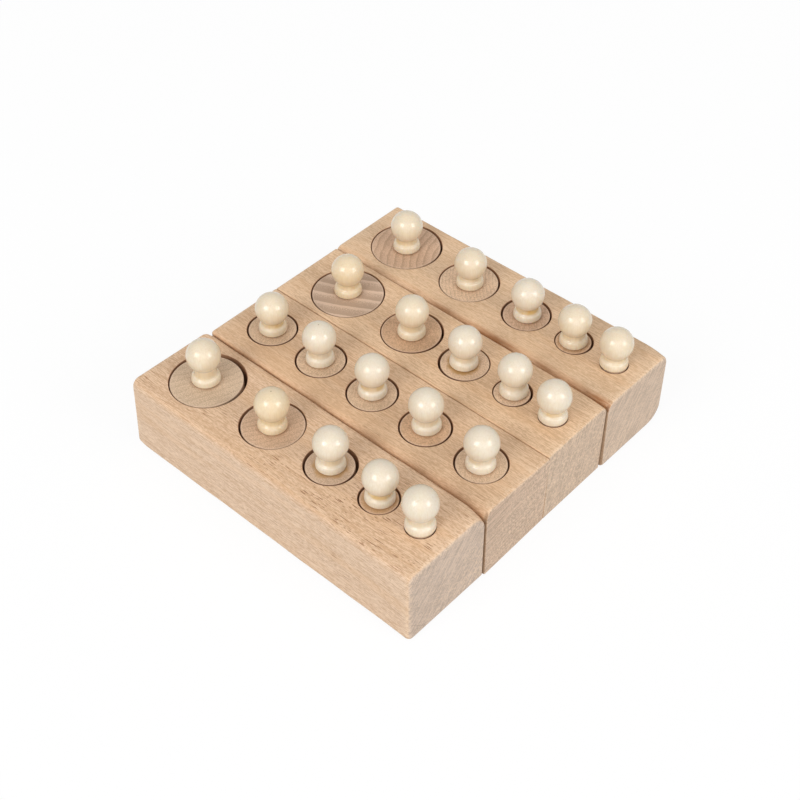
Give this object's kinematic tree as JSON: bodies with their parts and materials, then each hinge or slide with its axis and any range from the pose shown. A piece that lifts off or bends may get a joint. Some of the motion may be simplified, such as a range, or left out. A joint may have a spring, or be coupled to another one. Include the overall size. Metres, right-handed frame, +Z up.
{
  "type": "knobbed cylinder block set",
  "caption": "Beech bars set side by side, each with a row of blind sockets holding loose graded cylinders that lift out by turned ball knobs.",
  "frame": {"origin": "on the table under the middle of the set of blocks", "axes": "+X along the blocks from their first socket to their last, +Y from the front block to the back block, +Z up"},
  "size_m": [0.146, 0.1532, 0.0548],
  "materials": {
    "flecked_beech": "satin, lightly flecked",
    "golden_beech": "satin",
    "end_grain_beech": "satin end grain",
    "varnished_knob": "gloss clear varnish"
  },
  "bodies": {
    "block_1": {"block_1": "flecked_beech"},
    "block_2": {"block_2": "golden_beech"},
    "block_3": {"block_3": "golden_beech"},
    "block_4": {"block_4": "golden_beech"},
    "cylinder_1a": {"cylinder_1a": "end_grain_beech", "knob_1a": "varnished_knob"},
    "cylinder_1b": {"cylinder_1b": "end_grain_beech", "knob_1b": "varnished_knob"},
    "cylinder_1c": {"cylinder_1c": "end_grain_beech", "knob_1c": "varnished_knob"},
    "cylinder_1d": {"cylinder_1d": "end_grain_beech", "knob_1d": "varnished_knob"},
    "cylinder_1e": {"cylinder_1e": "end_grain_beech", "knob_1e": "varnished_knob"},
    "cylinder_2a": {"cylinder_2a": "end_grain_beech", "knob_2a": "varnished_knob"},
    "cylinder_2b": {"cylinder_2b": "end_grain_beech", "knob_2b": "varnished_knob"},
    "cylinder_2c": {"cylinder_2c": "end_grain_beech", "knob_2c": "varnished_knob"},
    "cylinder_2d": {"cylinder_2d": "end_grain_beech", "knob_2d": "varnished_knob"},
    "cylinder_2e": {"cylinder_2e": "end_grain_beech", "knob_2e": "varnished_knob"},
    "cylinder_3a": {"cylinder_3a": "end_grain_beech", "knob_3a": "varnished_knob"},
    "cylinder_3b": {"cylinder_3b": "end_grain_beech", "knob_3b": "varnished_knob"},
    "cylinder_3c": {"cylinder_3c": "end_grain_beech", "knob_3c": "varnished_knob"},
    "cylinder_3d": {"cylinder_3d": "end_grain_beech", "knob_3d": "varnished_knob"},
    "cylinder_3e": {"cylinder_3e": "end_grain_beech", "knob_3e": "varnished_knob"},
    "cylinder_4a": {"cylinder_4a": "end_grain_beech", "knob_4a": "varnished_knob"},
    "cylinder_4b": {"cylinder_4b": "end_grain_beech", "knob_4b": "varnished_knob"},
    "cylinder_4c": {"cylinder_4c": "end_grain_beech", "knob_4c": "varnished_knob"},
    "cylinder_4d": {"cylinder_4d": "end_grain_beech", "knob_4d": "varnished_knob"},
    "cylinder_4e": {"cylinder_4e": "end_grain_beech", "knob_4e": "varnished_knob"}
  },
  "joints": [
    {"name": "move_block_1", "type": "slide", "parent": "block_2", "child": "block_1", "axis": [0, -1, 0], "range_m": [0, 0.06]},
    {"name": "move_block_3", "type": "slide", "parent": "block_2", "child": "block_3", "axis": [0, 1, 0], "range_m": [0, 0.06]},
    {"name": "move_block_4", "type": "slide", "parent": "block_3", "child": "block_4", "axis": [0, 1, 0], "range_m": [0, 0.06]},
    {"name": "lift_1a", "type": "slide", "parent": "block_1", "child": "cylinder_1a", "axis": [0, 0, 1], "range_m": [0, 0.036]},
    {"name": "lift_1b", "type": "slide", "parent": "block_1", "child": "cylinder_1b", "axis": [0, 0, 1], "range_m": [0, 0.036]},
    {"name": "lift_1c", "type": "slide", "parent": "block_1", "child": "cylinder_1c", "axis": [0, 0, 1], "range_m": [0, 0.036]},
    {"name": "lift_1d", "type": "slide", "parent": "block_1", "child": "cylinder_1d", "axis": [0, 0, 1], "range_m": [0, 0.036]},
    {"name": "lift_1e", "type": "slide", "parent": "block_1", "child": "cylinder_1e", "axis": [0, 0, 1], "range_m": [0, 0.036]},
    {"name": "lift_2a", "type": "slide", "parent": "block_2", "child": "cylinder_2a", "axis": [0, 0, 1], "range_m": [0, 0.036]},
    {"name": "lift_2b", "type": "slide", "parent": "block_2", "child": "cylinder_2b", "axis": [0, 0, 1], "range_m": [0, 0.036]},
    {"name": "lift_2c", "type": "slide", "parent": "block_2", "child": "cylinder_2c", "axis": [0, 0, 1], "range_m": [0, 0.036]},
    {"name": "lift_2d", "type": "slide", "parent": "block_2", "child": "cylinder_2d", "axis": [0, 0, 1], "range_m": [0, 0.036]},
    {"name": "lift_2e", "type": "slide", "parent": "block_2", "child": "cylinder_2e", "axis": [0, 0, 1], "range_m": [0, 0.036]},
    {"name": "lift_3a", "type": "slide", "parent": "block_3", "child": "cylinder_3a", "axis": [0, 0, 1], "range_m": [0, 0.036]},
    {"name": "lift_3b", "type": "slide", "parent": "block_3", "child": "cylinder_3b", "axis": [0, 0, 1], "range_m": [0, 0.036]},
    {"name": "lift_3c", "type": "slide", "parent": "block_3", "child": "cylinder_3c", "axis": [0, 0, 1], "range_m": [0, 0.036]},
    {"name": "lift_3d", "type": "slide", "parent": "block_3", "child": "cylinder_3d", "axis": [0, 0, 1], "range_m": [0, 0.036]},
    {"name": "lift_3e", "type": "slide", "parent": "block_3", "child": "cylinder_3e", "axis": [0, 0, 1], "range_m": [0, 0.036]},
    {"name": "lift_4a", "type": "slide", "parent": "block_4", "child": "cylinder_4a", "axis": [0, 0, 1], "range_m": [0, 0.036]},
    {"name": "lift_4b", "type": "slide", "parent": "block_4", "child": "cylinder_4b", "axis": [0, 0, 1], "range_m": [0, 0.036]},
    {"name": "lift_4c", "type": "slide", "parent": "block_4", "child": "cylinder_4c", "axis": [0, 0, 1], "range_m": [0, 0.036]},
    {"name": "lift_4d", "type": "slide", "parent": "block_4", "child": "cylinder_4d", "axis": [0, 0, 1], "range_m": [0, 0.036]},
    {"name": "lift_4e", "type": "slide", "parent": "block_4", "child": "cylinder_4e", "axis": [0, 0, 1], "range_m": [0, 0.036]}
  ]
}
